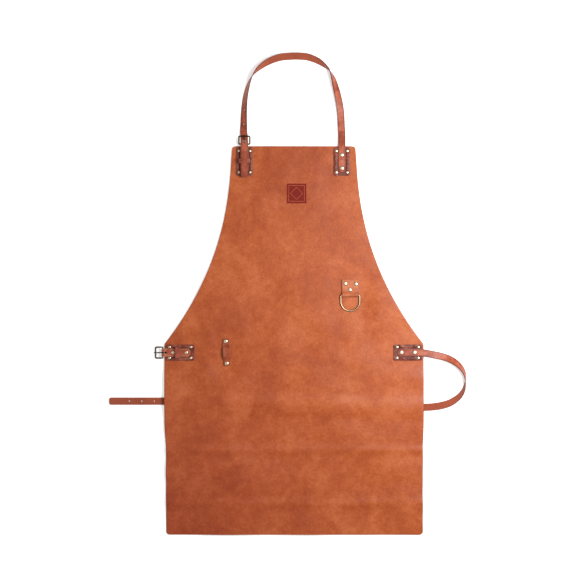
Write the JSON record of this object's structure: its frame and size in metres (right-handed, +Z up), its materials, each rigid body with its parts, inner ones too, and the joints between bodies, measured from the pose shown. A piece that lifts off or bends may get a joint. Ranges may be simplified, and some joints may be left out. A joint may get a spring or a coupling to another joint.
{
  "type": "leather work apron",
  "caption": "Bib apron in thick leather, laid flat, with an adjustable neck strap, a waist strap and buckle, a ring on a tab and a tool loop.",
  "frame": {"origin": "middle of the footprint, on the surface that the apron lies on", "axes": "+X to the wearer's left across the apron, which is the right as seen, +Y from the hem to the neck strap, +Z up off the surface on the grain side"},
  "size_m": [0.7858, 1.0594, 0.0161],
  "materials": {
    "hide": "satin",
    "patch_leather": "gloss",
    "strap_leather": "satin",
    "antique_brass": "satin",
    "rivet_brass": "satin"
  },
  "bodies": {
    "apron": {"apron_sheet": "hide", "d_ring_tab": "strap_leather", "d_ring_tab_rivet_1": "rivet_brass", "d_ring_tab_rivet_2": "rivet_brass", "d_ring_tab_rivet_3": "rivet_brass", "neck_billet": "strap_leather", "neck_left_billet_rivet_1": "rivet_brass", "neck_left_billet_rivet_2": "rivet_brass", "neck_left_patch": "patch_leather", "neck_left_patch_rivet_1": "rivet_brass", "neck_left_patch_rivet_2": "rivet_brass", "neck_left_patch_rivet_3": "rivet_brass", "neck_left_patch_rivet_4": "rivet_brass", "neck_right_patch": "patch_leather", "neck_right_patch_rivet_1": "rivet_brass", "neck_right_patch_rivet_2": "rivet_brass", "neck_right_patch_rivet_3": "rivet_brass", "neck_right_patch_rivet_4": "rivet_brass", "neck_right_strap_rivet_1": "rivet_brass", "neck_right_strap_rivet_2": "rivet_brass", "neck_strap_bend_left": "strap_leather", "neck_strap_bend_right": "strap_leather", "neck_strap_fixed_end": "strap_leather", "neck_strap_tail": "strap_leather", "tool_loop": "strap_leather", "tool_loop_rivet_1": "rivet_brass", "tool_loop_rivet_2": "rivet_brass", "waist_billet": "strap_leather", "waist_left_billet_rivet_1": "rivet_brass", "waist_left_billet_rivet_2": "rivet_brass", "waist_left_patch": "patch_leather", "waist_left_patch_rivet_1": "rivet_brass", "waist_left_patch_rivet_2": "rivet_brass", "waist_left_patch_rivet_3": "rivet_brass", "waist_left_patch_rivet_4": "rivet_brass", "waist_right_patch": "patch_leather", "waist_right_patch_rivet_1": "rivet_brass", "waist_right_patch_rivet_2": "rivet_brass", "waist_right_patch_rivet_3": "rivet_brass", "waist_right_patch_rivet_4": "rivet_brass", "waist_right_strap_rivet_1": "rivet_brass", "waist_right_strap_rivet_2": "rivet_brass", "waist_strap": "strap_leather"},
    "d_ring": {"d_ring": "antique_brass"},
    "waist_buckle": {"waist_buckle_frame": "antique_brass"},
    "waist_prong": {"waist_buckle_prong": "antique_brass"},
    "waist_keeper": {"waist_keeper": "strap_leather"},
    "neck_keeper": {"neck_keeper": "strap_leather"},
    "neck_loop": {"neck_strap_loop": "strap_leather", "neck_buckle_frame": "antique_brass", "neck_buckle_prong": "antique_brass"}
  },
  "joints": [
    {"name": "neck_loop_lift", "type": "hinge", "parent": "apron", "child": "neck_loop", "pos_m": [-0.09532, 0.32828, 0.00785], "axis": [1, 0, 0], "range_deg": [0, 90], "deforming": ["neck_strap_bend_left", "neck_strap_bend_right"]},
    {"name": "d_ring_swing", "type": "hinge", "parent": "apron", "child": "d_ring", "pos_m": [0.13718, -0.00392, 0.00655], "axis": [-1, 0, 0], "range_deg": [0, 150]},
    {"name": "waist_buckle_swing", "type": "hinge", "parent": "apron", "child": "waist_buckle", "pos_m": [-0.27432, -0.12922, 0.00785], "axis": [0, 1, 0], "range_deg": [0, 90]},
    {"name": "waist_prong_swing", "type": "hinge", "parent": "waist_buckle", "child": "waist_prong", "pos_m": [-0.27432, -0.12922, 0.00785], "axis": [0, 1, 0], "range_deg": [0, 60]},
    {"name": "waist_keeper_slide", "type": "slide", "parent": "apron", "child": "waist_keeper", "axis": [-1, 0, 0], "range_m": [-0.0124, 0.004]},
    {"name": "neck_keeper_slide", "type": "slide", "parent": "apron", "child": "neck_keeper", "axis": [0, 1, 0], "range_m": [-0.0082, 0.0082]}
  ]
}
